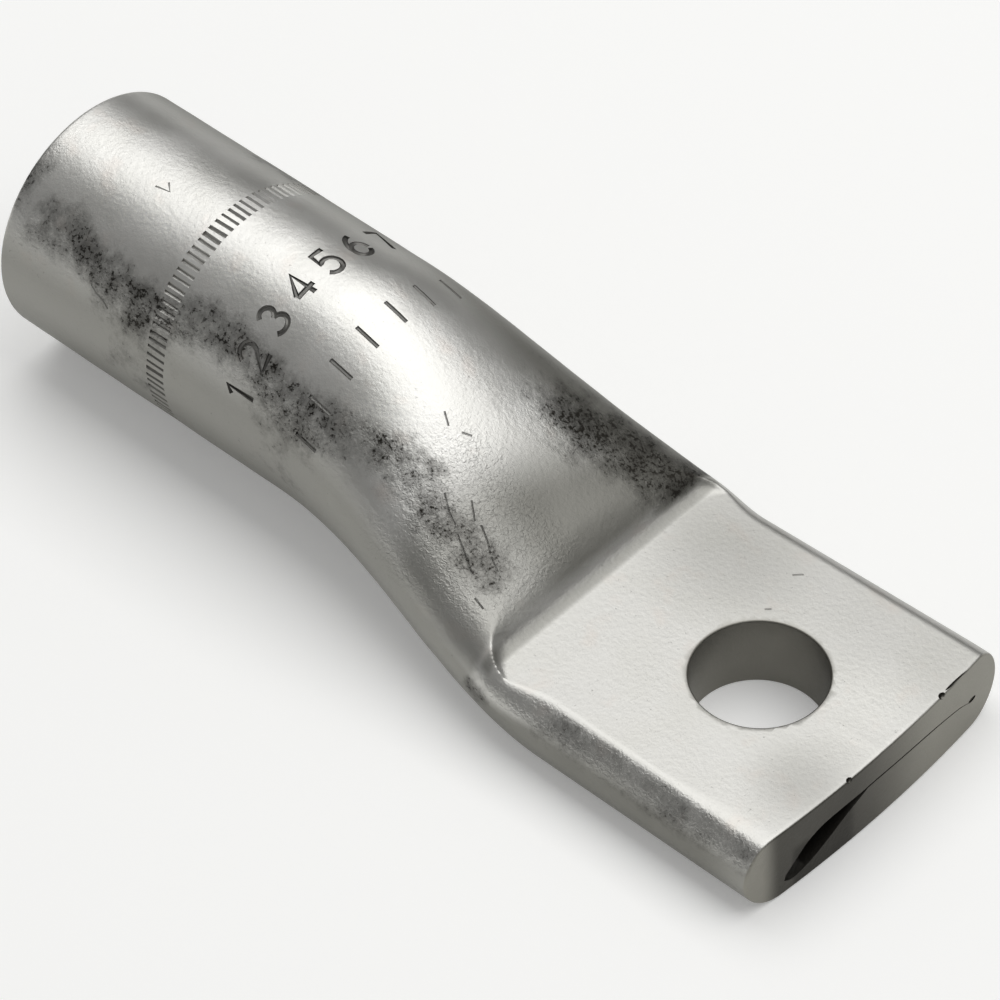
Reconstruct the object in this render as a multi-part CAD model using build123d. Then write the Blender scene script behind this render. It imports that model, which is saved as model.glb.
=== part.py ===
from build123d import *
import math
import os

# A compression cable lug, formed from one length of heavy-wall round tube.
# The origin is on the palm's flat underside, at the axis of the stud hole.
# +X runs from the stud hole to the free end of the palm, the barrel lies along -X, and +Z is up.
# All sizes are in millimetres, and distances along the lug are measured from the stud hole.

# The tube and the barrel
barrel_diameter = 17.0
tube_wall = 2.7
hole_to_mouth = 57.0
mouth_outer_break = 0.3
mouth_deburr = 0.35

# The stretch where the tube is pressed from round to flat
hole_to_round_end = 33.5
hole_to_flat_start = 8.0
outer_section_count = 7
inner_section_count = 12
round_shoulder_angle = 45.0

# The palm
hole_to_palm_end = 9.5
palm_width = 23.2
palm_thickness = 5.4
palm_end_bow_radius = 100.0
palm_end_lean = 0.25
stud_hole_diameter = 8.6
stud_hole_break = 0.25

# The coined flat on top of the palm and the step at its inner end
coining_depth = 0.25
hole_to_step = 13.2
punch_edge_radius = 1.2
coined_edge_break = 0.2

# The seam between the two pressed walls, seen on the palm's end as an arched line.
# It opens into a pocket at the -Y fold.
seam_gap = 0.14
seam_depth = 2.0
upper_wall_at_seam = 1.95
fold_wall = 3.2
closed_fold_drop = 1.3
open_fold_drop = 2.2
pocket_start_along_seam = 0.67
pocket_outer_bulge = 1.35
pocket_inner_bulge = 0.45

# Sizes worked out from those above
barrel_radius = barrel_diameter / 2
bore_radius = barrel_radius - tube_wall
pressed_height = palm_thickness + coining_depth
palm_blank_length = hole_to_flat_start + 2 * hole_to_palm_end
seam_height = palm_thickness - upper_wall_at_seam
seam_reach = palm_width / 2 - fold_wall
on_base = (Align.CENTER, Align.CENTER, Align.MIN)


def pressing(distance):
    """How far the tube is pressed at a distance from the stud hole: 0 is round, 1 is flat."""
    t = (hole_to_round_end - distance) / (hole_to_round_end - hole_to_flat_start)
    t = min(max(t, 0.0), 1.0)
    return t * t * (3 - 2 * t)


def pressed_size(round_size, flat_size, distance):
    """A size that goes from its value on the round tube to its value on the flat palm."""
    return round_size + (flat_size - round_size) * pressing(distance)


def section_plane(distance):
    """Plane across the tube at a distance from the stud hole, centred in its height."""
    centre_height = pressed_size(barrel_radius, pressed_height / 2, distance)
    return Plane(origin=(-distance, 0, centre_height), x_dir=(0, 1, 0), z_dir=(1, 0, 0))


def arc_handle(reach, turn):
    """Handle length of the cubic curve that follows an arc.

    The reach is how far the arc goes along its first tangent, and the turn is its angle.
    """
    return reach / (3 * math.cos(turn / 4) ** 2 * math.cos(turn / 2))


def outer_section(distance):
    """The tube's outside: side arcs and crown arcs that meet tangentially at four shoulders.

    The crowns straighten as the tube is pressed, and are straight lines on the palm.
    """
    half_height = pressed_size(barrel_radius, pressed_height / 2, distance)
    half_width = pressed_size(barrel_radius, palm_width / 2, distance)
    side_turn = math.radians(pressed_size(round_shoulder_angle, 90.0, distance))
    crown_turn = math.pi / 2 - side_turn
    ratio = math.tan(crown_turn / 2)
    side_radius = (half_height - half_width * ratio) / (1 - ratio)
    shoulder = Vector(
        half_width - side_radius + side_radius * math.cos(side_turn),
        side_radius * math.sin(side_turn),
    )
    tangent = Vector(-math.sin(side_turn), math.cos(side_turn))
    side_handle = arc_handle(shoulder.Y, side_turn)
    crown_handle = arc_handle(shoulder.X, crown_turn)
    quarter = [
        Vector(half_width, 0),
        Vector(half_width, side_handle),
        shoulder - tangent * side_handle,
        shoulder,
        shoulder + tangent * crown_handle,
        Vector(crown_handle, half_height),
        Vector(0, half_height),
    ]
    outline = []
    for y_side, z_side in ((1, 1), (-1, 1), (-1, -1), (1, -1)):
        points = [(y_side * point.X, z_side * point.Y) for point in quarter]
        if y_side != z_side:
            points.reverse()
        outline += [Bezier(*points[:4]), Bezier(*points[3:])]
    return section_plane(distance) * make_face(outline)


def inner_section(distance):
    """The tube's inside: the round bore, pressed into an ever flatter ellipse."""
    half_height = pressed_size(barrel_radius, pressed_height / 2, distance) - tube_wall
    half_width = pressed_size(barrel_radius, palm_width / 2, distance) - tube_wall
    return section_plane(distance) * Ellipse(half_width, half_height)


def stations(first, last, count):
    """Evenly spaced distances from the stud hole."""
    return [first + (last - first) * i / (count - 1) for i in range(count)]


def along_barrel(tool):
    """Stand a tool on the mouth's plane, pointing along the barrel's axis towards the palm."""
    return Plane(origin=(-hole_to_mouth, 0, barrel_radius), z_dir=(1, 0, 0)) * tool


def outer_form():
    """The tube's outside: round barrel, pressed transition and flat palm with its bowed end."""
    barrel = loft([outer_section(hole_to_mouth), outer_section(hole_to_round_end)], ruled=True)
    barrel = chamfer(barrel.edges().group_by(Axis.X)[0], mouth_outer_break)
    pressed = stations(hole_to_round_end, hole_to_flat_start, outer_section_count)
    transition = loft([outer_section(d) for d in pressed])
    palm = extrude(outer_section(hole_to_flat_start), amount=palm_blank_length, dir=(1, 0, 0))
    bow = Pos(hole_to_palm_end - palm_end_bow_radius, 0, 0) * Cone(
        palm_end_bow_radius + palm_end_lean, palm_end_bow_radius, pressed_height, align=on_base
    )
    return barrel + transition + (palm & bow)


def inner_form():
    """The tube's inside: conductor bore, and the cavity that the punch closes under the step."""
    bore = along_barrel(Cylinder(bore_radius, hole_to_mouth - hole_to_round_end, align=on_base))
    deburr = along_barrel(
        Cone(bore_radius + mouth_deburr, bore_radius, mouth_deburr, align=on_base)
    )
    pressed = stations(hole_to_round_end, hole_to_step, inner_section_count)
    cavity = loft([inner_section(d) for d in pressed], ruled=True)
    return bore + deburr + (cavity - punch(tube_wall))


def punch(reach=0.0):
    """The space of the coining punch, up to the step, grown by the wall that it pushes ahead."""
    block = Pos(-hole_to_step - reach, 0, palm_thickness - reach) * Box(
        hole_to_step + reach + 2 * hole_to_palm_end,
        2 * palm_width,
        barrel_diameter,
        align=(Align.MIN, Align.CENTER, Align.MIN),
    )
    lower_edge = block.edges().filter_by(Axis.Y).group_by(Axis.Z)[0].sort_by(Axis.X)[0]
    return fillet(lower_edge, punch_edge_radius + reach)


def stud_hole():
    """The hole through the palm, with both of its edges broken."""
    radius = stud_hole_diameter / 2
    with BuildSketch(Plane.XZ) as profile:
        with BuildLine():
            Polyline(
                (0, 0),
                (radius + stud_hole_break, 0),
                (radius, stud_hole_break),
                (radius, palm_thickness - stud_hole_break),
                (radius + stud_hole_break, palm_thickness),
                (0, palm_thickness),
                close=True,
            )
        make_face()
    return revolve(profile.sketch, Axis.Z)


def seam():
    """The line where the tube's two walls meet, cut a little way into the palm's end."""
    closed_fold = (seam_reach, seam_height - closed_fold_drop)
    open_fold = (-seam_reach, seam_height - open_fold_drop)
    arch = ThreePointArc(closed_fold, (0, seam_height), open_fold)
    pocket_start = arch @ pocket_start_along_seam
    pocket = make_face([
        SagittaArc(pocket_start, open_fold, -pocket_outer_bulge),
        SagittaArc(pocket_start, open_fold, -pocket_inner_bulge),
    ])
    end = Plane(origin=(hole_to_palm_end + seam_depth, 0, 0), x_dir=(0, 1, 0), z_dir=(1, 0, 0))
    return extrude(end * (trace(arch, seam_gap) + pocket), amount=-2 * seam_depth)


def coined_form():
    """The pressed tube after the punch has struck its flat and eased the flat's long edges."""
    form = outer_form() - inner_form() - punch()
    rims = form.edges().filter_by_position(Axis.Z, palm_thickness, palm_thickness).sort_by(Axis.Y)
    return chamfer([rims[0], rims[-1]], coined_edge_break)


def lug_body():
    """The whole lug: the formed tube with its stud hole and the seam in its end."""
    return coined_form() - stud_hole() - seam()


os.makedirs("parts", exist_ok=True)
body = lug_body()
export_step(body, "parts/lug_body.step")
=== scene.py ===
import bmesh
import bpy
import math
import random
from mathutils import Matrix, Vector, noise


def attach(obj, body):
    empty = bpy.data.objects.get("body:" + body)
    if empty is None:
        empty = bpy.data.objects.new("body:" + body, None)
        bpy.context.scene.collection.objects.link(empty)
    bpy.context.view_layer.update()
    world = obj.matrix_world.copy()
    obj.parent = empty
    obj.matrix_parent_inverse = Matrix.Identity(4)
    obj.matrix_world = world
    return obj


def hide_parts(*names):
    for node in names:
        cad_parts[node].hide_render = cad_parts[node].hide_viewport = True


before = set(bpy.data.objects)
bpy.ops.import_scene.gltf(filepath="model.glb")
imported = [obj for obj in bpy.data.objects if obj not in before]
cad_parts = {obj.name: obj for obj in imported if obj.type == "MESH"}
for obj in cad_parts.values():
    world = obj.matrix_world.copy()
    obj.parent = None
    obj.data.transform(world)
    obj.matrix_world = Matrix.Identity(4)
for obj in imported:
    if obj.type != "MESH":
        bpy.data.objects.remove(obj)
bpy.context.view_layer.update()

# A compression cable lug pressed from one length of heavy-wall round tube.
# Sizes are in millimetres until they go into a mesh, and x, y and z are those of the CAD frame.
MM = 0.001

# The tube and the barrel
BARREL_RADIUS = 8.5
TUBE_WALL = 2.7
BORE_RADIUS = BARREL_RADIUS - TUBE_WALL
MOUTH_X = -57.0
MOUTH_OUTER_ROUND = 0.3
MOUTH_DEBURR = 0.35

# The pressed stretch and the palm
ROUND_END_X = -33.5
FLAT_START_X = -8.0
SHOULDER_ANGLE = 45.0
PALM_END_X = 9.5
PALM_WIDTH = 23.2
PALM_THICKNESS = 5.4
PALM_BOW_RADIUS = 100.0
PALM_END_LEAN = 0.25
PALM_END_ROUND = 0.18
STUD_HOLE_RADIUS = 4.3
STUD_HOLE_BREAK = 0.13

# The coined flat and its step. The steepness is the sine of the angle at which its wall leans.
COINING_DEPTH = 0.25
PRESSED_HEIGHT = PALM_THICKNESS + COINING_DEPTH
STEP_FOOT_X = -12.0
PUNCH_RADIUS = 1.3
PUNCH_STEEPNESS = 0.79
PUNCH_CORNER = 2.2
CORNER_OUT_Y = 10.75

# How widely the edge between the tube and the punch is rounded: along the step, at its corners,
# from one to the other over the stated y, along the rims, and at the palm's end
STEP_BLEND = 0.9
CORNER_BLEND = 0.16
CORNER_BLEND_Y = (6.6, 9.4)
RIM_BLEND = 0.1
RIM_BLEND_AT_END = 0.45

# The bulge that the punch squeezed out of the -Y fold, beside the step's foot. Outwards it
# grows over the stated y, and upwards from its own foot.
BULGE = 0.36
BULGE_FULL_TO_X = -10.8
BULGE_FOOT_Z = 2.2
BULGE_Y = (-6.0, -9.5)

# The palm's +Y edge, necked in behind the step and flared at the end, as shares of its y
NECK_START_X = -12.8
NECK_X = -9.0
PALM_NECK = 0.034
PALM_FLARE = 0.016

# How far the drawn skin waves in and out
WAVINESS = 0.035

# The seam in the palm's end, as y and z on it
SEAM_LINE = [(8.9, 2.3), (7.5, 2.8), (4.6, 3.22), (0.0, 3.45), (-1.8, 3.42)]
SEAM_GAP = 0.13
SEAM_DEPTH = 1.6
POCKET_UPPER = [(-1.2, 3.47), (-3.4, 3.5), (-5.2, 3.4), (-6.5, 2.95), (-7.5, 2.2), (-8.4, 1.45)]
POCKET_LOWER = [(-1.4, 3.3), (-3.2, 2.6), (-4.9, 1.75), (-6.4, 1.1), (-7.8, 0.8), (-8.5, 1.05)]
POCKET_DEPTH = 1.9
POCKET_DEPTH_BELOW = POCKET_DEPTH * 0.75

# Marks struck into the barrel. A darkness is that of the struck faces, from 0 to 1.
NOTCH_COUNT = 96
NOTCH_X = -42.83
NOTCH_LENGTH = 1.5
NOTCH_WIDTH = 0.3
NOTCH_DEPTH = 0.13
NOTCH_DARKNESS = 0.35
STROKE_RADIUS = 0.2
STROKE_DEPTH = 0.17
NUMERAL_HEIGHT = 2.2
NUMERAL_MIDDLE = 0.32
NUMERAL_FOOT_X = -34.5
NUMERAL_START = -10.9
NUMERAL_PITCH = 2.6
NUMERAL_DARKNESS = 0.75
BAR_X = -29.85
BAR_LENGTH = 1.8
BAR_RADIUS = 0.15
BAR_DEPTH = 0.13
BAR_DARKNESS = 0.65

# How the notches vary: in strength, in slant in radians, in share of the pitch, and along x
NOTCH_STRENGTHS = (0.75, 1.15)
NOTCH_SLANT = 0.03
NOTCH_STRAY = 0.08
NOTCH_SHIFT = 0.03

# Scratches and drag marks, as lines of x and y
SCRATCH_RADIUS = 0.08
SCRATCH_DEPTH = 0.05
SCRATCH_DARKNESS = 0.5
SCRATCHES = [
    [(-48.7, -1.9), (-47.6, -1.7), (-48.2, -1.2)],
    [(-49.0, -7.68), (-48.5, -7.81), (-47.9, -7.86), (-47.3, -8.0)],
    [(-23.9, -1.9), (-23.2, -2.3)],
    [(-22.5, -1.9), (-22.0, -1.5)],
    [(-3.8, 7.5), (-3.3, 8.0)],
    [(-3.2, 4.2), (-2.9, 4.5)],
    [(-20.9, -5.2), (-20.0, -5.75), (-19.3, -6.0)],
    [(-18.9, -6.25), (-17.6, -6.85), (-16.8, -7.25)],
    [(-18.3, -4.75), (-17.4, -5.15), (-16.9, -5.5)],
    [(-16.7, -5.6), (-15.9, -5.95)],
    [(-15.7, -8.2), (-14.9, -8.3)],
    [(-19.6, -4.2), (-18.7, -4.9)],
]

# Nicks at the edges, as a place and half sizes
NICK_DARKNESS = 1.0
NICKS = [
    ((9.47, -2.85, 5.42), (0.24, 0.26, 0.3)),
    ((9.3, 5.95, 5.42), (0.24, 0.3, 0.3)),
    ((9.17, 7.9, 5.42), (0.12, 1.6, 0.14)),
    ((9.12, 9.0, 2.4), (0.2, 0.5, 0.22)),
]

# The meshes: samples on a curve, steps of a turn, the places of two rings, how far the cutters
# stand out of the palm's end, the gaps that are closed, and a sharp edge's angle in degrees
QUARTER_SAMPLES = 32
TURNED_STEPS = 160
BORE_MIDDLE_X = -45.0
LAST_STATION_X = 7.6
CUTTER_OUT = 1.5
WELD_GAP = 0.0005
MEND_GAP = 0.001
SHARP_ANGLE = 32

# Colours of the tin plate and the floor
PLATE_DARK = "#cfcec9"
PLATE_LIGHT = "#dcdbd7"
COPPER_BLUSH = "#dcc6b8"
# Grey of rubbed plate, also used as painted shade on the lower sides and along the step
RUBBED_AND_SHADE_GREY = "#86857f"
# Stains, dirt in the struck marks, and a spot of painted shade below the step's corner
STAIN_AND_SHADE_BROWN = "#2e2c28"
CUT_METAL = "#94928a"
# Painted shade on the cut metal: in the seam's pocket, in the stud hole and on the palm's end
SEAM_SHADOW = "#34322e"
PAPER_WHITE = "#f4f4f2"

# Patterns of the plate, as how many fit in a millimetre
CLOUDS_PER_MM = 0.2
BLUSHES_PER_MM = 0.45
BLOTS_PER_MM = 0.5
SPECKS_PER_MM = 3.6
DIMPLES_PER_MM = 2.8
FOLDS_PER_MM = 4.2

# Relief of the plate in millimetres, and its folds and stains as shares of its dimples
RELIEF_HEIGHT = 0.026
FOLD_RELIEF = 2.4
STAIN_RELIEF = -0.6

# Roughness of the clean plate, and what stains, rubbing and cutting add
ROUGHNESS_LOW = 0.32
ROUGHNESS_HIGH = 0.4
ROUGHNESS_ADDED = 0.16

# The floor in metres and its glow, and the camera in degrees and millimetres
FLOOR_REACH = 2.0
FLOOR_GLOW = 0.2
CAMERA_PLACE = (131.590, -159.571, 234.520)
CAMERA_AZIMUTH = 43.76
CAMERA_ELEVATION = 45.99
CAMERA_ROLL = -1.48
CAMERA_LENS = 184.5
CAMERA_SENSOR = 36.0


# Form of the tube, as sections across it

def pressing(x):
    """How far the tube is pressed at x: 0 is round, 1 is flat."""
    t = min(max((x - ROUND_END_X) / (FLAT_START_X - ROUND_END_X), 0.0), 1.0)
    return t * t * (3 - 2 * t)


def pressed_size(round_size, flat_size, x):
    """A size that goes from its value on the round tube to its value on the flat palm."""
    return round_size + (flat_size - round_size) * pressing(x)


def arc_handle(reach, turn):
    """Handle length of the cubic curve that follows an arc."""
    return reach / (3 * math.cos(turn / 4) ** 2 * math.cos(turn / 2))


def cubic(p0, p1, p2, p3, t):
    """The point at t on a cubic curve."""
    s = 1 - t
    return p0 * s ** 3 + p1 * 3 * s * s * t + p2 * 3 * s * t * t + p3 * t ** 3


known_quarters = {}


def quarter(x):
    """A quarter of the tube's outline at x, from its side to its crown.

    It is given as its points, the share of its length up to each, and the tube's half height.
    """
    x = round(min(max(x, ROUND_END_X), FLAT_START_X), 4)
    if x in known_quarters:
        return known_quarters[x]
    half_height = pressed_size(BARREL_RADIUS, PRESSED_HEIGHT / 2, x)
    half_width = pressed_size(BARREL_RADIUS, PALM_WIDTH / 2, x)
    side_turn = math.radians(pressed_size(SHOULDER_ANGLE, 90.0, x))
    crown_turn = math.pi / 2 - side_turn
    ratio = math.tan(crown_turn / 2)
    side_radius = (half_height - half_width * ratio) / (1 - ratio)
    shoulder = Vector((
        half_width - side_radius + side_radius * math.cos(side_turn),
        side_radius * math.sin(side_turn),
    ))
    tangent = Vector((-math.sin(side_turn), math.cos(side_turn)))
    side_handle = arc_handle(shoulder.y, side_turn)
    crown_handle = arc_handle(shoulder.x, crown_turn)
    side_start = Vector((half_width, 0))
    side = (
        side_start, side_start + Vector((0, side_handle)),
        shoulder - tangent * side_handle, shoulder,
    )
    crown_end = Vector((0, half_height))
    crown = (
        shoulder, shoulder + tangent * crown_handle,
        Vector((crown_handle, half_height)), crown_end,
    )
    steps = [i / QUARTER_SAMPLES for i in range(QUARTER_SAMPLES + 1)]
    points = [cubic(*side, t) for t in steps[:-1]] + [cubic(*crown, t) for t in steps]
    lengths = [0.0]
    for a, b in zip(points, points[1:]):
        lengths.append(lengths[-1] + (b - a).length)
    shares = [length / lengths[-1] for length in lengths]
    known_quarters[x] = (points, shares, half_height)
    return known_quarters[x]


def outline_point(x, lap):
    """The outline's y and z at x and lap, where lap runs from 0 to 4 round the tube.

    Lap 0 is the middle of the underside, 1 the -Y side, 2 the top and 3 the +Y side.
    """
    points, shares, half_height = quarter(x)
    turn = min(int(lap), 3)
    share = lap - turn
    from_side = 1 - share if turn in (0, 2) else share
    low, high = 0, len(shares) - 1
    while high - low > 1:
        middle = (low + high) // 2
        if shares[middle] <= from_side:
            low = middle
        else:
            high = middle
    between = (from_side - shares[low]) / (shares[high] - shares[low])
    point = points[low].lerp(points[high], between)
    return (
        -point.x if turn < 2 else point.x,
        half_height + (point.y if turn in (1, 2) else -point.y),
    )


def soft_least(a, b, blend):
    """The lesser of two heights, with the corner between them rounded over the blend."""
    h = max(blend - abs(a - b), 0.0) / blend
    return min(a, b) - h * h * blend / 4


def punch_height(x, y=0.0):
    """Height that the punch leaves: the coined flat, then the step's fillet and its wall.

    The punch's corners are rounded, so the step's foot turns towards the palm's free end there.
    """
    corner = min(max(abs(y) - (CORNER_OUT_Y - PUNCH_CORNER), 0.0), PUNCH_CORNER * 0.99)
    foot = STEP_FOOT_X + PUNCH_CORNER - math.sqrt(PUNCH_CORNER ** 2 - corner ** 2)
    d = foot - x
    if d <= 0:
        return PALM_THICKNESS
    steep = min(d, PUNCH_STEEPNESS * PUNCH_RADIUS)
    rest = math.sqrt(PUNCH_RADIUS ** 2 - steep ** 2)
    return PALM_THICKNESS + PUNCH_RADIUS - rest + (d - steep) * steep / rest


def ramp(value, start, end):
    """How far a value is from start to end, from 0 to 1, eased at both."""
    t = min(max((value - start) / (end - start), 0.0), 1.0)
    return t * t * (3 - 2 * t)


def waviness(x, y, z):
    """How far the drawn skin stands off its true form at a point of the barrel or the slope."""
    place = Vector((x, y, z))
    # Swells 6 mm and 2 mm long, and others 1 mm long where the tube was folded
    swell = noise.noise(place * 0.16) + 0.45 * noise.noise(place * 0.5)
    fold = ramp(x, -26.0, -20.0) * ramp(y, 1.0, -3.0)
    swell += 0.5 * fold * noise.noise(place * 1.1)
    return (
        WAVINESS * swell * ramp(x, MOUTH_X, MOUTH_X + 3) * ramp(x, -12.5, -15.0)
        * ramp(z, 0.3, 3.0)
    )


def skin_point(x, lap):
    """The outside's y and z at x and lap, with the coined flat struck into it."""
    y, z = outline_point(x, lap)
    if y < 0:
        squeezed = ramp(x, STEP_FOOT_X - 2.5, STEP_FOOT_X)
        squeezed *= ramp(x, FLAT_START_X + 0.5, BULGE_FULL_TO_X)
        y -= BULGE * squeezed * ramp(z, BULGE_FOOT_Z, PALM_THICKNESS) * ramp(y, *BULGE_Y)
    if 1.0 < lap < 3.0 and x > STEP_FOOT_X - 4.0:
        blend = STEP_BLEND + (CORNER_BLEND - STEP_BLEND) * ramp(abs(y), *CORNER_BLEND_Y)
        blend += (RIM_BLEND - blend) * ramp(x, STEP_FOOT_X - 0.4, STEP_FOOT_X + 1.2)
        if y < 0:
            blend += (RIM_BLEND_AT_END - RIM_BLEND) * ramp(x, 0.0, PALM_END_X)
        z = soft_least(z, punch_height(x, y), blend)
    if y > 0:
        along = min(max((x - NECK_X) / (PALM_END_X - NECK_X), 0.0), 1.0)
        y *= 1 - (PALM_NECK - (PALM_NECK + PALM_FLARE) * along) * ramp(x, NECK_START_X, NECK_X)
    middle = quarter(x)[2]
    away = Vector((y, z - middle)).normalized() * waviness(x, y, z)
    return y + away.x, z + away.y


def inside_point(x, lap):
    """The inside's y and z at x and lap: the round bore, pressed into an ever flatter ellipse."""
    height = 2 * pressed_size(BARREL_RADIUS, PRESSED_HEIGHT / 2, x)
    half_width = pressed_size(BARREL_RADIUS, PALM_WIDTH / 2, x)
    half_gap = min(height, punch_height(x)) / 2 - TUBE_WALL
    turn = (lap - 2) * math.pi / 2
    return (half_width - TUBE_WALL) * math.sin(turn), TUBE_WALL + half_gap * (1 + math.cos(turn))


def palm_end(y, z):
    """How far the palm's bowed and leaning end reaches in x at y and z."""
    radius = PALM_BOW_RADIUS + PALM_END_LEAN * (1 - z / PRESSED_HEIGHT)
    return PALM_END_X - PALM_BOW_RADIUS + math.sqrt(radius ** 2 - y * y)


def spread(first, last, step):
    """Even values from first to last, about a step apart, without the last."""
    count = max(round(abs(last - first) / step), 1)
    return [first + (last - first) * i / count for i in range(count)]


def lap_columns():
    """Laps of the mesh's columns: closest along the flat's rims, and alike in all quarters."""
    from_side = spread(0.0, 0.19, 0.03) + spread(0.19, 0.4, 0.009)
    from_side += spread(0.4, 0.5, 0.016) + spread(0.5, 1.0, 0.03)
    half = [1 - share for share in reversed(from_side + [1.0])]
    half += [1 + share for share in from_side[1:] + [1.0]]
    return half + [4 - lap for lap in reversed(half[1:-1])]


def ring(x, place, laps):
    """One ring of the mesh round the tube at x."""
    return [Vector((x, *place(x, lap))) for lap in laps]


def round_ring(x, radius, laps):
    """One round ring of the mesh on the barrel's axis."""
    turns = [(lap - 2) * math.pi / 2 for lap in laps]
    return [
        Vector((x, radius * math.sin(turn), BARREL_RADIUS + radius * math.cos(turn)))
        for turn in turns
    ]


def inner_rings(laps):
    """Rings from the closed nose of the cavity, along the bore, to the mouth's inner edge."""
    rings = [ring(x, inside_point, laps) for x in spread(STEP_FOOT_X, ROUND_END_X, 0.9)]
    bore = (ROUND_END_X, BORE_MIDDLE_X, MOUTH_X + MOUTH_DEBURR + 0.2)
    rings += [round_ring(x, BORE_RADIUS, laps) for x in bore]
    # The deburr has a ring close to each of its edges, which keeps them crisp
    rings += [
        round_ring(MOUTH_X + MOUTH_DEBURR, BORE_RADIUS, laps),
        round_ring(MOUTH_X + MOUTH_DEBURR * 0.96, BORE_RADIUS + MOUTH_DEBURR * 0.04, laps),
        round_ring(MOUTH_X + MOUTH_DEBURR * 0.06, BORE_RADIUS + MOUTH_DEBURR * 0.94, laps),
        round_ring(MOUTH_X, BORE_RADIUS + MOUTH_DEBURR + 0.03, laps),
    ]
    return rings


def mouth_rings(laps):
    """Rings over the mouth's face and round its outer edge."""
    flat = BARREL_RADIUS - MOUTH_OUTER_ROUND
    rings = [round_ring(MOUTH_X, radius, laps) for radius in (6.6, 7.2, 7.8, flat - 0.05)]
    for i in range(7):
        turn = math.pi / 2 * i / 6
        x = MOUTH_X + MOUTH_OUTER_ROUND * (1 - math.cos(turn))
        rings.append(round_ring(x, flat + MOUTH_OUTER_ROUND * math.sin(turn), laps))
    return rings


def outer_stations():
    """Places along the outside that get a ring: closest over the step."""
    return (
        spread(MOUTH_X + MOUTH_OUTER_ROUND + 0.2, ROUND_END_X, 0.45)
        + spread(ROUND_END_X, -15.0, 0.4)
        + spread(-15.0, -13.9, 0.12)
        + spread(-13.9, -12.6, 0.05)
        + spread(-12.6, -9.2, 0.07)
        + spread(-9.2, FLAT_START_X, 0.2)
        + spread(FLAT_START_X, LAST_STATION_X, 0.5)
    )


def end_rings(laps):
    """Rings from the last straight station to the middle of the palm's end."""
    outline = [Vector(skin_point(LAST_STATION_X, lap)) for lap in laps]
    inward = []
    for i in range(len(outline)):
        along = outline[(i + 1) % len(outline)] - outline[i - 1]
        inward.append(Vector((along.y, -along.x)).normalized())
    lengths = [palm_end(*p) - PALM_END_ROUND - LAST_STATION_X for p in outline]
    rings = []
    for share in (0.0, 0.35, 0.65, 0.85):
        rings.append([
            Vector((LAST_STATION_X + length * share, *p)) for length, p in zip(lengths, outline)
        ])
    for i in range(6):
        turn = math.pi / 2 * i / 5
        inset = PALM_END_ROUND * (1 - math.cos(turn))
        back = PALM_END_ROUND * (1 - math.sin(turn))
        moved = [p + n * inset for p, n in zip(outline, inward)]
        rings.append([Vector((palm_end(*p) - back, *p)) for p in moved])
    edge = [p + n * (PALM_END_ROUND + 0.02) for p, n in zip(outline, inward)]
    reach = PALM_WIDTH / 2 - PALM_THICKNESS / 2
    middle = [
        Vector((min(max(outline_point(FLAT_START_X, lap)[0], -reach), reach), PALM_THICKNESS / 2))
        for lap in laps
    ]
    for share in (0.0, 0.2, 0.45, 0.7, 0.9, 1.0):
        part = [p.lerp(m, share) for p, m in zip(edge, middle)]
        rings.append([Vector((palm_end(*p), *p)) for p in part])
    return rings


def wrap(name, rings):
    """A closed mesh whose rings follow each other: one grid, rolled up and welded at its seam."""
    bm = bmesh.new()
    along, across = len(rings) - 1, len(rings[0])
    bmesh.ops.create_grid(bm, x_segments=along, y_segments=across, size=1.0)
    for v in bm.verts:
        i = round((v.co.x + 1) / 2 * along)
        j = round((v.co.y + 1) / 2 * across) % across
        v.co = rings[i][j] * MM
    bmesh.ops.remove_doubles(bm, verts=bm.verts, dist=WELD_GAP * MM)
    bmesh.ops.dissolve_degenerate(bm, edges=bm.edges, dist=WELD_GAP * MM)
    bmesh.ops.recalc_face_normals(bm, faces=bm.faces)
    return finished(name, bm)


def finished(name, bm):
    """A smooth object from a bmesh, with its place in its mesh."""
    mesh = bpy.data.meshes.new(name)
    bm.to_mesh(mesh)
    bm.free()
    mesh.shade_smooth()
    made = bpy.data.objects.new(name, mesh)
    bpy.context.scene.collection.objects.link(made)
    return made


def turned_cutter(name, profile):
    """A solid turned about the stud hole's axis from a profile of radius and height."""
    bm = bmesh.new()
    points = [bm.verts.new(Vector((radius, 0, z)) * MM) for radius, z in profile]
    edges = [bm.edges.new(pair) for pair in zip(points, points[1:])]
    bmesh.ops.spin(
        bm, geom=points + edges, cent=(0, 0, 0), axis=(0, 0, 1), angle=math.tau,
        steps=TURNED_STEPS, use_merge=True,
    )
    bmesh.ops.remove_doubles(bm, verts=bm.verts, dist=WELD_GAP * MM)
    bmesh.ops.recalc_face_normals(bm, faces=bm.faces)
    return finished(name, bm)


def cut(piece, cutter, struck=0.0):
    """Take the cutter's solid out of the piece, and store how darkly the new faces are struck."""
    for mesh, value in ((piece.data, 0.0), (cutter.data, struck)):
        if "struck" not in mesh.attributes:
            marks = mesh.attributes.new("struck", "FLOAT", "FACE")
            marks.data.foreach_set("value", [value] * len(mesh.polygons))
    modifier = piece.modifiers.new("cut", "BOOLEAN")
    modifier.operation = "DIFFERENCE"
    modifier.solver = "MANIFOLD"
    modifier.object = cutter
    graph = bpy.context.evaluated_depsgraph_get()
    mesh = bpy.data.meshes.new_from_object(piece.evaluated_get(graph))
    piece.modifiers.clear()
    piece.data = mesh
    bpy.data.objects.remove(cutter)


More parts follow.
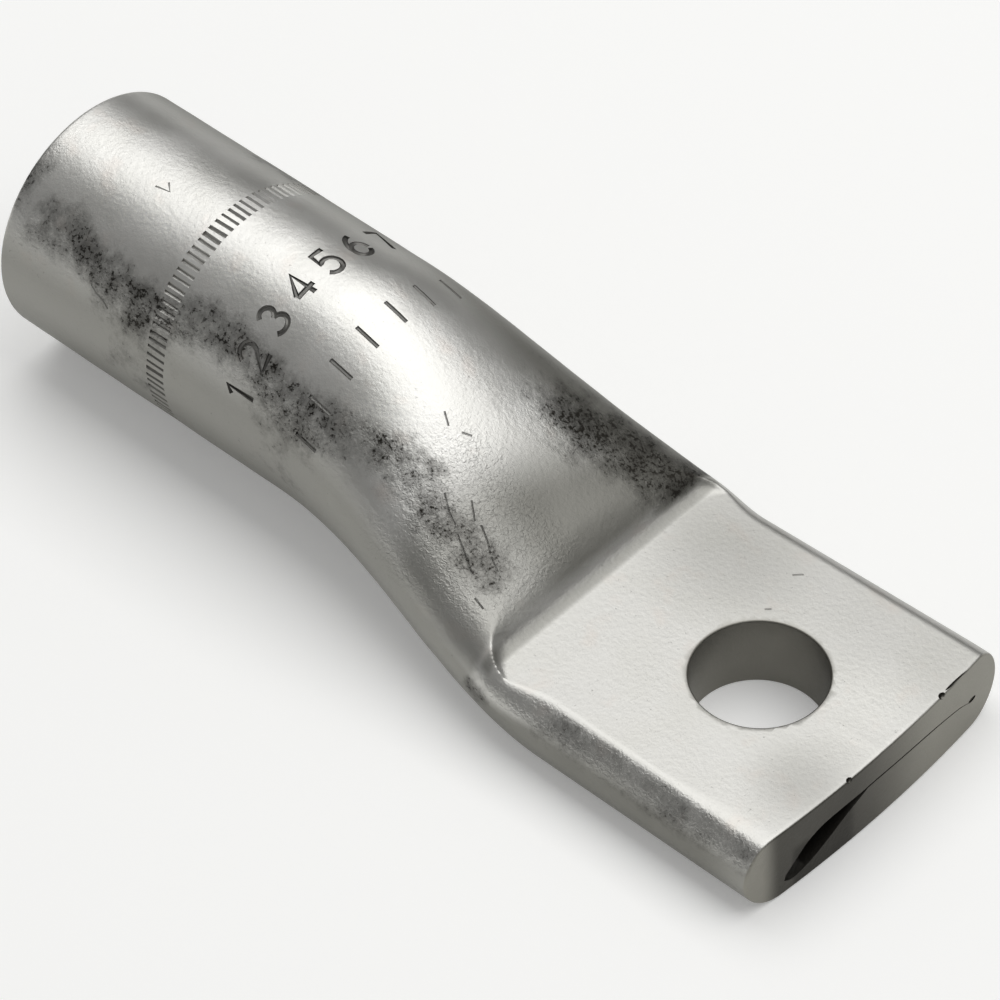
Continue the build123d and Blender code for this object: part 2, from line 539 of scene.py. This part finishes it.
def stud_hole_cutter():
    """The stud hole's space, with a rounded break at each end of it.

    It stands out of the palm at both ends, where a hair keeps it clear of the palm's faces.
    """
    radius, top, size = STUD_HOLE_RADIUS, PALM_THICKNESS, STUD_HOLE_BREAK
    out, hair = 1.0, 0.0001
    profile = [(0.0, -out), (radius + size, -out), (radius + size, -hair)]
    for i in range(1, 6):
        turn = math.pi / 2 * i / 5
        profile.append((radius + size * (1 - math.sin(turn)), size * (1 - math.cos(turn))))
    profile += [(r, top - z) for r, z in reversed(profile[3:])]
    profile += [(radius + size, top + hair), (radius + size, top + out), (0.0, top + out)]
    return turned_cutter("hole cutter", profile)


def smooth_line(points, steps=8):
    """Points on a smooth line through the given ones."""
    ends = [points[0] * 2 - points[1]] + points + [points[-1] * 2 - points[-2]]
    made = []
    for a, b, c, d in zip(ends, ends[1:], ends[2:], ends[3:]):
        made += [cubic(b, b + (c - a) / 6, c - (d - b) / 6, c, i / steps) for i in range(steps)]
    return made + [points[-1]]


def end_cutter(bm, outline, depths):
    """Add a solid that reaches into the palm's end.

    Its outline is in y and z, and at each point of it the solid goes as deep as its depth says.
    """
    outer = [bm.verts.new(Vector((PALM_END_X + CUTTER_OUT, p.x, p.y)) * MM) for p in outline]
    face = bm.faces.new(outer)
    deep = bmesh.ops.extrude_face_region(bm, geom=[face])["geom"]
    for v in deep:
        if isinstance(v, bmesh.types.BMVert):
            nearest = min(range(len(outline)), key=lambda i: (outer[i].co - v.co).length)
            y, z = outline[nearest]
            v.co.x = (palm_end(y, z) - depths[nearest]) * MM


def seam_cutter():
    """The seam between the two pressed walls: a hairline that opens into a torn pocket."""
    bm = bmesh.new()
    line = smooth_line([Vector(p) for p in SEAM_LINE])
    gap = Vector((0, SEAM_GAP / 2))
    # It is a third as wide where it starts, and widens over its first points
    opening = [gap * min(1.0, 0.3 + i / 24) for i in range(len(line))]
    upper = [p + half for p, half in zip(line, opening)]
    lower = [p - half for p, half in zip(line, opening)]
    end_cutter(bm, upper + lower[::-1], [SEAM_DEPTH] * (2 * len(line)))
    bmesh.ops.recalc_face_normals(bm, faces=bm.faces)
    return finished("seam cutter", bm)


def pocket_cutter():
    """The pocket: deep under its upper lip, and shallow where it runs out on the lower wall."""
    bm = bmesh.new()
    upper = smooth_line([Vector(p) for p in POCKET_UPPER], 5)
    lower = smooth_line([Vector(p) for p in POCKET_LOWER], 5)
    depths = [POCKET_DEPTH] * len(upper) + [POCKET_DEPTH_BELOW] * len(lower)
    end_cutter(bm, upper + lower[::-1], depths)
    bmesh.ops.recalc_face_normals(bm, faces=bm.faces)
    return finished("pocket cutter", bm)


def notch_cutter():
    """The ring of short V notches round the barrel, each struck a little differently."""
    bm = bmesh.new()
    for i in range(NOTCH_COUNT):
        struck = random.uniform(*NOTCH_STRENGTHS)
        made = bmesh.ops.create_cone(
            bm, cap_ends=True, segments=4, radius1=0.5 * MM, radius2=0.5 * MM, depth=1.0 * MM,
            matrix=Matrix.Rotation(math.pi / 2, 4, "Y"),
        )["verts"]
        size = Matrix.Diagonal((NOTCH_LENGTH, NOTCH_WIDTH * struck, NOTCH_DEPTH * 2 * struck, 1))
        lift = Matrix.Translation(Vector((0, 0, BARREL_RADIUS)) * MM)
        slant = Matrix.Rotation(random.uniform(-NOTCH_SLANT, NOTCH_SLANT), 4, "Z")
        step = i + random.uniform(-NOTCH_STRAY, NOTCH_STRAY)
        turn = Matrix.Rotation(math.tau * step / NOTCH_COUNT, 4, "X")
        x = NOTCH_X + random.uniform(-NOTCH_SHIFT, NOTCH_SHIFT)
        middle = Matrix.Translation(Vector((x, 0, BARREL_RADIUS)) * MM)
        bmesh.ops.transform(bm, matrix=middle @ turn @ lift @ slant @ size, verts=made)
    bmesh.ops.recalc_face_normals(bm, faces=bm.faces)
    return finished("notch cutter", bm)


def arc(cx, cy, rx, ry, start, end, steps=12):
    """Points on an elliptical arc between two angles in degrees."""
    turns = [math.radians(start + (end - start) * i / steps) for i in range(steps + 1)]
    return [(cx + rx * math.cos(turn), cy + ry * math.sin(turn)) for turn in turns]


def numerals():
    """Strokes of the plain numerals 1 to 7, one unit high."""
    return [
        [[(0.14, 0.8), (0.34, 1.0), (0.34, 0.0)]],
        [arc(0.31, 0.7, 0.29, 0.3, 165, -38) + [(0.02, 0.0), (0.62, 0.0)]],
        [arc(0.29, 0.76, 0.24, 0.24, 150, -75), arc(0.29, 0.27, 0.3, 0.27, 72, -150)],
        [[(0.46, 0.0), (0.46, 1.0), (0.03, 0.34)], [(0.0, 0.28), (0.66, 0.28)]],
        [[(0.56, 1.0), (0.12, 1.0), (0.07, 0.56)] + arc(0.29, 0.32, 0.3, 0.32, 128, -150)],
        [arc(0.5, 0.34, 0.48, 0.66, 95, 180, 8), arc(0.31, 0.31, 0.29, 0.31, 0, 345, 20)],
        [[(0.02, 1.0), (0.62, 1.0), (0.24, 0.0)]],
    ]


def on_barrel(x, around):
    """The point at x and a length around from the top, and the outward direction there."""
    lap = 2 + around / (BARREL_RADIUS * math.pi / 2)
    here = Vector((x, *skin_point(x, lap)))
    ahead = Vector((x, *skin_point(x, lap + 0.01)))
    further = Vector((x + 0.1, *skin_point(x + 0.1, lap)))
    return here, (further - here).cross(ahead - here).normalized()


def around_at(x, y):
    """The length around from the top at which the upper skin reaches y."""
    low, high = 1.02, 2.98
    for _ in range(30):
        lap = (low + high) / 2
        if skin_point(x, lap)[0] < y:
            low = lap
        else:
            high = lap
    return (low - 2) * BARREL_RADIUS * math.pi / 2


def stroke_cutter(strokes, radius=STROKE_RADIUS, depth=STROKE_DEPTH):
    """Grooves along strokes that are given as x and length around from the top."""
    curve = bpy.data.curves.new("strokes", "CURVE")
    curve.dimensions = "3D"
    curve.bevel_depth = radius * MM
    curve.bevel_resolution = 2
    curve.use_fill_caps = True
    for stroke in strokes:
        spline = curve.splines.new("POLY")
        spline.points.add(len(stroke) - 1)
        for point, (x, around) in zip(spline.points, stroke):
            here, outward = on_barrel(x, around)
            point.co = (*((here + outward * (radius - depth)) * MM), 1.0)
    drawn = bpy.data.objects.new("strokes", curve)
    bpy.context.scene.collection.objects.link(drawn)
    graph = bpy.context.evaluated_depsgraph_get()
    mesh = bpy.data.meshes.new_from_object(drawn.evaluated_get(graph))
    bpy.data.objects.remove(drawn)
    bm = bmesh.new()
    bm.from_mesh(mesh)
    bmesh.ops.remove_doubles(bm, verts=bm.verts, dist=WELD_GAP * MM)
    bmesh.ops.recalc_face_normals(bm, faces=bm.faces)
    return finished("stroke cutter", bm)


def numeral_strokes(which):
    """The strokes numbered which of every numeral in the row, round the barrel."""
    strokes = []
    for i, numeral in enumerate(numerals()):
        if which < len(numeral):
            start = NUMERAL_START + i * NUMERAL_PITCH
            strokes.append([
                (NUMERAL_FOOT_X - v * NUMERAL_HEIGHT, start + u * NUMERAL_HEIGHT)
                for u, v in numeral[which]
            ])
    return strokes


def bar_strokes():
    """The plain index bars in the second row, one to each numeral."""
    first = NUMERAL_START + NUMERAL_MIDDLE * NUMERAL_HEIGHT
    places = [first + i * NUMERAL_PITCH for i in range(len(numerals()))]
    return [[(BAR_X - BAR_LENGTH / 2, place), (BAR_X + BAR_LENGTH / 2, place)] for place in places]


def nick_cutter():
    """Small nicks that handling left in the edges."""
    bm = bmesh.new()
    for place, size in NICKS:
        bmesh.ops.create_icosphere(
            bm, subdivisions=2, radius=1.0 * MM,
            matrix=Matrix.Translation(Vector(place) * MM) @ Matrix.Diagonal((*size, 1)),
        )
    return finished("nick cutter", bm)


def mend(piece):
    """Merge the points that the cuts left all but touching, and drop the slivers between them."""
    bm = bmesh.new()
    bm.from_mesh(piece.data)
    bmesh.ops.remove_doubles(bm, verts=bm.verts, dist=MEND_GAP * MM)
    bmesh.ops.dissolve_degenerate(bm, edges=bm.edges, dist=WELD_GAP * MM)
    bm.to_mesh(piece.data)
    bm.free()


def lug_shell():
    """The lug's whole skin, inside and out."""
    laps = lap_columns()
    rings = inner_rings(laps) + mouth_rings(laps)
    rings += [ring(x, skin_point, laps) for x in outer_stations()]
    rings += end_rings(laps)
    return wrap("lug", rings)


# Finishes

def linear(colour):
    """A colour given as sRGB hex, in the linear values that shaders take."""
    parts = [int(colour[i:i + 2], 16) / 255 for i in (1, 3, 5)]
    return (*[p / 12.92 if p <= 0.04045 else ((p + 0.055) / 1.055) ** 2.4 for p in parts], 1.0)


def add(tree, kind, inputs=None, **settings):
    """Add a node with its settings, and set or link its inputs."""
    node = tree.nodes.new(kind)
    for key, value in settings.items():
        setattr(node, key, value)
    for key, value in (inputs or {}).items():
        socket = node.inputs[key]
        if isinstance(value, bpy.types.NodeSocket):
            tree.links.new(value, socket)
        else:
            socket.default_value = value
    return node


def near(x, y, middle_x, middle_y, outer, inner):
    """How close a point is to a middle: 0 beyond the outer distance, and 1 within the inner."""
    return ramp(math.hypot(x - middle_x, y - middle_y), outer, inner)


def under_rim(y, z, low, high):
    """How far a point is on the palm's -Y side: it fades in from low to high, up to the rim."""
    return ramp(y, -9.6, -10.2) * ramp(z, low, high) * ramp(z, 5.39, 5.2)


def tarnish_and_painted_shade_at(x, y, z):
    """How much the plate is stained at a point, as the strongest of six stains, one of them painted
    shade below the step's corner.
    """
    # Along the -Y shoulder: it wanders, and is wider where the tube is pressed
    pressed = ramp(x, -27.0, -20.0)
    left = ramp(abs(y + 6.9 - 1.0 * pressed - 0.5 * math.sin(x * 0.45)), 2.0 + 1.7 * pressed, 0.3)
    left *= ramp(x, -57.5, -53.5) * ramp(x, -13.0, -15.5) * ramp(z, 5.6, 7.6)
    left *= 1 - 0.08 * pressed

    # Down the +Y shoulder to the step, on a slanting line
    line_x, line_y = 0.901, 0.434
    away = abs(-line_y * (x + 24.5) + line_x * (y - 3.0))
    along = line_x * (x + 24.5) + line_y * (y - 3.0)
    right = 1.3 * ramp(away, 4.9, 0.0) * ramp(along, -1.0, 6.0) * ramp(x, -12.7, -13.3)

    # Under the palm's rim, at the mouth, and high on the barrel's +Y side, and painted shade below
    # the step's corner, where the bulge turns to the light
    rim = under_rim(y, z, 2.6, 4.0) * ramp(x, -14.5, -5.0)
    mouth = ramp(abs(y + 5.0), 3.2, 1.0) * ramp(x, -54.5, -56.7) * ramp(z, 10.0, 12.0)
    crown = ramp(abs(y - 6.6), 2.4, 0.5) * ramp(abs(x + 45.5), 4.5, 1.0) * ramp(z, 9.0, 10.0)
    corner = near(x, z, -12.8, 3.6, 2.0, 0.3) * ramp(y, -9.8, -10.6)
    return max(left, right, 0.6 * rim, 0.9 * mouth, 0.8 * crown, 0.85 * corner)


def rubbed_and_painted_shade_at(x, y, z):
    """How far the plate is turned to an even dull grey at a point: partly rubbed plate, and partly
    painted shade low on the sides, along the step's foot, down the slope and at the step's +Y end.
    """
    height = 2 * pressed_size(BARREL_RADIUS, PRESSED_HEIGHT / 2, x)
    on_palm = ramp(x, -14.0, -11.5)

    # Painted shade low on the barrel's sides, and on the palm's sides below a band left brighter as
    # a painted highlight
    low = (0.8 * ramp(z / height, 0.82, 0.6) + 0.2 * ramp(z / height, 0.5, 0.25)) * (1 - on_palm)
    side = 0.95 + 0.05 * ramp(x, -8.0, -4.0) - 0.2 * ramp(x, 5.0, 9.0)
    bright = 0.95 - 0.4 * ramp(x, -11.0, -1.0) + 0.2 * ramp(x, 2.0, 8.0)
    low += side * (1 - bright * ramp(z, 3.5, 4.5)) * ramp(z, 5.36, 5.0) * on_palm
    low *= 1 - 0.6 * ramp(y, 0.0, 6.0) * ramp(z / height, 0.75, 0.55)

    # Down the slope to the step partly rubbed plate and partly painted shade, and painted shade
    # along its foot and at its +Y end
    slope = ramp(x - 0.25 * y, -22.0, -17.0) * ramp(x, -12.7, -13.6)
    slope *= 1 - 0.36 * ramp(y, -1.0, -6.0)
    foot = 0.75 * ramp(abs(x - STEP_FOOT_X + 0.5), 0.8, 0.1) * ramp(z, 5.3, 5.42)
    crown = ramp(y, 3.0, 6.6) * ramp(x, -12.4, -13.2) * ramp(z / height, 0.5, 0.65)

    # Over the coined flat, with two duller patches and a brighter one
    flat = 0.24 + 0.12 * ramp(y, 1.0, 8.0) + 0.17 * near(x, y, -7.5, 5.5, 7.0, 1.0)
    flat += 0.25 * near(x, y, 7.5, -5.0, 4.5, 0.5)
    flat -= 0.1 * near(x, y, 6.5, 3.0, 4.5, 0.5)
    flat *= ramp(x, STEP_FOOT_X - 0.6, STEP_FOOT_X)
    return max(low, slope, foot, crown, flat)


def wrinkles_at(x, y, z):
    """How wrinkled the plate is at a point: most where the tube was folded down to the palm."""
    fold = ramp(x, -26.0, -21.0) * ramp(x, -12.8, -14.5) * ramp(y, 1.0, -2.5) * ramp(z, 5.8, 7.5)
    rim = under_rim(y, z, 3.0, 4.2) * ramp(x, -14.0, -11.0)
    return max(fold, 0.9 * rim, 0.6 * tarnish_and_painted_shade_at(x, y, z))


def sheared_at(x, y, z):
    """How far a point is on cut metal: the wall of the stud hole, the palm's end and its seam."""
    hole = ramp(math.hypot(x, y), STUD_HOLE_RADIUS + 0.2, STUD_HOLE_RADIUS + 0.05)
    reach = math.hypot(x - PALM_END_X + PALM_BOW_RADIUS, y) - PALM_BOW_RADIUS
    return max(hole, ramp(reach, -0.08, -0.02))


def coined_at(x, y, z):
    """How far a point is on the coined flat, which the punch left smoother."""
    on_top = ramp(z, PALM_THICKNESS - 0.1, PALM_THICKNESS - 0.02)
    return on_top * ramp(x, STEP_FOOT_X - 0.5, STEP_FOOT_X + 0.5)


def painted_cut_shade_at(x, y, z):
    """How much painted shade the cut metal gets at a point of the stud hole's wall or the palm's
    end.
    """
    sheared = sheared_at(x, y, z)
    face = sheared * ramp(x, 8.8, 9.0)

    # Painted shade in the seam's pocket, and on the end where it is torn below that
    end = palm_end(y, z)
    inside = ramp(x, end - 0.04, end - 0.3) * ramp(x, 6.9, 7.1)
    inside *= ramp(abs(y), 9.8, 9.3) * ramp(abs(z - 2.4), 1.5, 1.3)
    torn = ramp(abs(y + 5.2), 4.2, 2.2) * ramp(z, 3.5, 2.9) * face

    # Painted shade on the rest of the end, more towards -Y, and in the hole, more towards the end
    rest = 0.8 * ramp(y, 6.0, -3.0) * ramp(y, -10.4, -8.8) * face
    hole = (0.25 + 0.35 * ramp(x, -1.0, 4.0)) * sheared * ramp(x, 5.0, 4.6)
    return max(inside, 0.95 * torn, rest, hole)


def mark_surface(piece):
    """Store what the finish varies with, as values at the piece's points."""
    mesh = piece.data
    finders = (
        ("tarnish_and_painted_shade", tarnish_and_painted_shade_at), ("rubbed_and_painted_shade", rubbed_and_painted_shade_at), ("wrinkles", wrinkles_at),
        ("sheared", sheared_at), ("painted_cut_shade", painted_cut_shade_at), ("coined", coined_at),
    )
    for name, find in finders:
        values = mesh.attributes.new(name, "FLOAT", "POINT")
        for v, value in zip(mesh.vertices, values.data):
            value.value = find(*(v.co / MM))


def satin_tin_plate_with_painted_shade():
    """Satin tin plate, dipped on drawn tube: a bright, slightly warm metal, finely dimpled.

    It is stained and pitted where it was pressed, and dull where the palm was cut through it. It
    also carries painted shade: low on its sides, along the step, below the step's corner, in the
    stud hole and seam, and on the palm's end.
    """
    material = bpy.data.materials.new("satin tin plate with painted shade")
    material.use_nodes = True
    tree = material.node_tree
    tree.nodes.clear()
    place = add(tree, "ShaderNodeTexCoord").outputs["Object"]
    mm = add(tree, "ShaderNodeVectorMath", {
        "Vector": place, "Scale": 1 / MM,
    }, operation="SCALE").outputs["Vector"]
    tarnish_and_painted_shade, wrinkles, sheared, painted_cut_shade, rubbed_and_painted_shade, coined, struck = [
        add(tree, "ShaderNodeAttribute", attribute_name=name).outputs["Fac"]
        for name in ("tarnish_and_painted_shade", "wrinkles", "sheared", "painted_cut_shade", "rubbed_and_painted_shade", "coined", "struck")
    ]

    # Clouds 5 mm across in the plate's tone and sheen
    clouds = add(tree, "ShaderNodeTexNoise", {
        "Vector": mm, "Scale": CLOUDS_PER_MM, "Detail": 4.0,
    }).outputs["Fac"]
    tone = add(tree, "ShaderNodeMapRange", {
        "Value": clouds, "From Min": 0.35, "From Max": 0.65,
    }).outputs["Result"]
    plate = add(tree, "ShaderNodeMix", {
        "Factor": tone, "A": linear(PLATE_DARK), "B": linear(PLATE_LIGHT),
    }, data_type="RGBA").outputs["Result"]

    # A faint copper blush 2 mm across, and dull grey where the plate was rubbed and where painted
    # shade lies
    blush = add(tree, "ShaderNodeTexNoise", {
        "Vector": mm, "Scale": BLUSHES_PER_MM, "Detail": 2.0,
    }).outputs["Fac"]
    blush = add(tree, "ShaderNodeMapRange", {
        "Value": blush, "From Min": 0.6, "From Max": 0.8, "To Max": 0.2,
    }).outputs["Result"]
    for share, tint in ((blush, COPPER_BLUSH), (rubbed_and_painted_shade, RUBBED_AND_SHADE_GREY)):
        plate = add(tree, "ShaderNodeMix", {
            "Factor": share, "A": plate, "B": linear(tint),
        }, data_type="RGBA").outputs["Result"]

    # Stains, and the painted shade below the step's corner: soft clouds 2 mm across, and specks 0.3
    # mm across in them
    blots = add(tree, "ShaderNodeTexNoise", {
        "Vector": mm, "Scale": BLOTS_PER_MM, "Detail": 7.0, "Roughness": 0.75,
    }).outputs["Fac"]
    blots = add(tree, "ShaderNodeMath", {
        0: tarnish_and_painted_shade, 1: 0.42, 2: blots,
    }, operation="MULTIPLY_ADD").outputs["Value"]
    clouded = add(tree, "ShaderNodeMapRange", {
        "Value": blots, "From Min": 0.62, "From Max": 1.06, "To Max": 0.75,
    }, interpolation_type="SMOOTHSTEP").outputs["Result"]
    specks = add(tree, "ShaderNodeTexNoise", {
        "Vector": mm, "Scale": SPECKS_PER_MM, "Detail": 3.0, "Roughness": 0.7,
    }).outputs["Fac"]
    specks = add(tree, "ShaderNodeMath", {
        0: clouded, 1: 0.24, 2: specks,
    }, operation="MULTIPLY_ADD").outputs["Value"]
    specks = add(tree, "ShaderNodeMapRange", {
        "Value": specks, "From Min": 0.66, "From Max": 0.78,
    }).outputs["Result"]
    stain_and_shade = add(tree, "ShaderNodeMath", {
        0: specks, 1: 0.4, 2: clouded,
    }, operation="MULTIPLY_ADD").outputs["Value"]
    stain_and_shade = add(tree, "ShaderNodeMath", {
        0: stain_and_shade, 1: struck,
    }, operation="MAXIMUM", use_clamp=True).outputs["Value"]
    # Stains, the grey of cut metal, and painted shade on the cut metal
    colour = plate
    for share, tint in ((stain_and_shade, STAIN_AND_SHADE_BROWN), (sheared, CUT_METAL), (painted_cut_shade, SEAM_SHADOW)):
        colour = add(tree, "ShaderNodeMix", {
            "Factor": share, "A": colour, "B": linear(tint),
        }, data_type="RGBA").outputs["Result"]

    # Sheen, duller on stains, on cut metal, and on the rubbed grey, which also carries painted
    # shade
    rough = add(tree, "ShaderNodeMapRange", {
        "Value": clouds, "From Min": 0.3, "From Max": 0.7,
        "To Min": ROUGHNESS_LOW, "To Max": ROUGHNESS_HIGH,
    }).outputs["Result"]
    dull = stain_and_shade
    for other in (sheared, rubbed_and_painted_shade):
        dull = add(tree, "ShaderNodeMath", {
            0: dull, 1: other,
        }, operation="MAXIMUM").outputs["Value"]
    rough = add(tree, "ShaderNodeMath", {
        0: dull, 1: ROUGHNESS_ADDED, 2: rough,
    }, operation="MULTIPLY_ADD").outputs["Value"]

    # Dimples 0.35 mm across, fainter on the coined flat, and wrinkles 0.25 mm across on the folds
    dimples = add(tree, "ShaderNodeTexNoise", {
        "Vector": mm, "Scale": DIMPLES_PER_MM, "Detail": 5.0, "Roughness": 0.65,
    }).outputs["Fac"]
    folds = add(tree, "ShaderNodeTexNoise", {
        "Vector": mm, "Scale": FOLDS_PER_MM, "Detail": 3.0, "Distortion": 0.8,
    }).outputs["Fac"]
    calm = add(tree, "ShaderNodeMapRange", {
        "Value": coined, "To Min": 1.0, "To Max": 0.65,
    }).outputs["Result"]
    dimples = add(tree, "ShaderNodeMath", {
        0: dimples, 1: calm,
    }, operation="MULTIPLY").outputs["Value"]
    folds = add(tree, "ShaderNodeMath", {
        0: folds, 1: wrinkles,
    }, operation="MULTIPLY").outputs["Value"]
    relief = dimples
    for height, share in ((folds, FOLD_RELIEF), (stain_and_shade, STAIN_RELIEF)):
        relief = add(tree, "ShaderNodeMath", {
            0: height, 1: share, 2: relief,
        }, operation="MULTIPLY_ADD").outputs["Value"]
    bump = add(tree, "ShaderNodeBump", {
        "Height": relief, "Strength": 1.0, "Distance": RELIEF_HEIGHT * MM,
    })
    shader = add(tree, "ShaderNodeBsdfPrincipled", {
        "Base Color": colour, "Metallic": 1.0, "Roughness": rough, "Normal": bump.outputs["Normal"],
    })
    add(tree, "ShaderNodeOutputMaterial", {"Surface": shader.outputs["BSDF"]})
    return material


# The lug

random.seed(7)
lug = lug_shell()
cut(lug, stud_hole_cutter())
cut(lug, seam_cutter())
cut(lug, pocket_cutter())
cut(lug, notch_cutter(), NOTCH_DARKNESS)
for which in range(2):
    cut(lug, stroke_cutter(numeral_strokes(which)), NUMERAL_DARKNESS)
cut(lug, stroke_cutter(bar_strokes(), BAR_RADIUS, BAR_DEPTH), BAR_DARKNESS)
scratches = [[(x, around_at(x, y)) for x, y in scratch] for scratch in SCRATCHES]
cut(lug, stroke_cutter(scratches, SCRATCH_RADIUS, SCRATCH_DEPTH), SCRATCH_DARKNESS)
cut(lug, nick_cutter(), NICK_DARKNESS)
mend(lug)
lug.data.set_sharp_from_angle(angle=math.radians(SHARP_ANGLE))
mark_surface(lug)
lug.data.materials.clear()
lug.data.materials.append(satin_tin_plate_with_painted_shade())
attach(lug, "root")
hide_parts("lug_body")


# Studio

def studio_floor():
    """A plain pale floor that the lug lies on."""
    bm = bmesh.new()
    bmesh.ops.create_grid(bm, x_segments=1, y_segments=1, size=FLOOR_REACH)
    floor = finished("floor", bm)
    material = bpy.data.materials.new("matt white paper")
    material.use_nodes = True
    tree = material.node_tree
    tree.nodes.clear()
    shader = add(tree, "ShaderNodeBsdfPrincipled", {
        "Base Color": linear(PAPER_WHITE), "Roughness": 0.9,
    })

    # A weak glow that the camera and mirrored rays see, and that lights nothing
    rays = add(tree, "ShaderNodeLightPath").outputs
    seen = rays["Is Camera Ray"]
    for kind in ("Is Glossy Ray", "Is Transmission Ray"):
        seen = add(tree, "ShaderNodeMath", {
            0: seen, 1: rays[kind],
        }, operation="MAXIMUM").outputs["Value"]
    strength = add(tree, "ShaderNodeMath", {
        0: seen, 1: FLOOR_GLOW,
    }, operation="MULTIPLY").outputs["Value"]
    glow = add(tree, "ShaderNodeEmission", {"Strength": strength})
    both = add(tree, "ShaderNodeAddShader", {
        0: shader.outputs["BSDF"], 1: glow.outputs["Emission"],
    })
    add(tree, "ShaderNodeOutputMaterial", {"Surface": both.outputs["Shader"]})
    floor.data.materials.append(material)
    return floor


def soft_lamp(name, place, aim, width, depth, power):
    """A soft rectangular lamp at a place, facing the point it aims at."""
    data = bpy.data.lights.new(name, "AREA")
    data.shape = "RECTANGLE"
    data.size, data.size_y = width, depth
    data.energy = power
    lamp = bpy.data.objects.new(name, data)
    lamp.location = place
    lamp.rotation_euler = (Vector(aim) - Vector(place)).to_track_quat("-Z", "Y").to_euler()
    bpy.context.scene.collection.objects.link(lamp)


def photo_camera():
    """The camera at the photograph's place and angle."""
    azimuth, elevation, roll = [
        math.radians(angle) for angle in (CAMERA_AZIMUTH, CAMERA_ELEVATION, CAMERA_ROLL)
    ]
    back = Vector((
        math.sin(azimuth) * math.cos(elevation),
        -math.cos(azimuth) * math.cos(elevation),
        math.sin(elevation),
    ))
    level = Vector((math.cos(azimuth), math.sin(azimuth), 0))
    up = back.cross(level)
    right = level * math.cos(roll) + up * math.sin(roll)
    upward = up * math.cos(roll) - level * math.sin(roll)
    data = bpy.data.cameras.new("camera")
    data.sensor_width = CAMERA_SENSOR
    data.lens = CAMERA_LENS
    data.clip_start, data.clip_end = 0.01, 10.0
    camera = bpy.data.objects.new("camera", data)
    turned = Matrix((right, upward, back)).transposed().to_4x4()
    camera.matrix_world = Matrix.Translation(Vector(CAMERA_PLACE) * MM) @ turned
    bpy.context.scene.collection.objects.link(camera)
    return camera


def studio_world():
    """Surroundings of the studio: dark grey low down, lighter towards the ceiling."""
    made = bpy.data.worlds.new("studio")
    made.use_nodes = True
    tree = made.node_tree
    tree.nodes.clear()
    direction = add(tree, "ShaderNodeTexCoord").outputs["Generated"]
    height = add(tree, "ShaderNodeSeparateXYZ", {"Vector": direction}).outputs["Z"]
    shade = add(tree, "ShaderNodeMapRange", {
        "Value": height, "From Min": 0.1, "From Max": 0.9, "To Min": 0.24, "To Max": 0.42,
    }, interpolation_type="SMOOTHSTEP")
    glow = add(tree, "ShaderNodeBackground", {"Strength": shade.outputs["Result"]})
    add(tree, "ShaderNodeOutputWorld", {"Surface": glow.outputs["Background"]})
    return made


floor = studio_floor()

scene = bpy.context.scene
scene.world = studio_world()
scene.view_settings.view_transform = "Standard"
soft_lamp(
    "overhead softbox", place=(0.0, 0.2, 0.62), aim=(0.0, 0.1, 0),
    width=1.25, depth=0.6, power=3.7,
)
scene.camera = photo_camera()
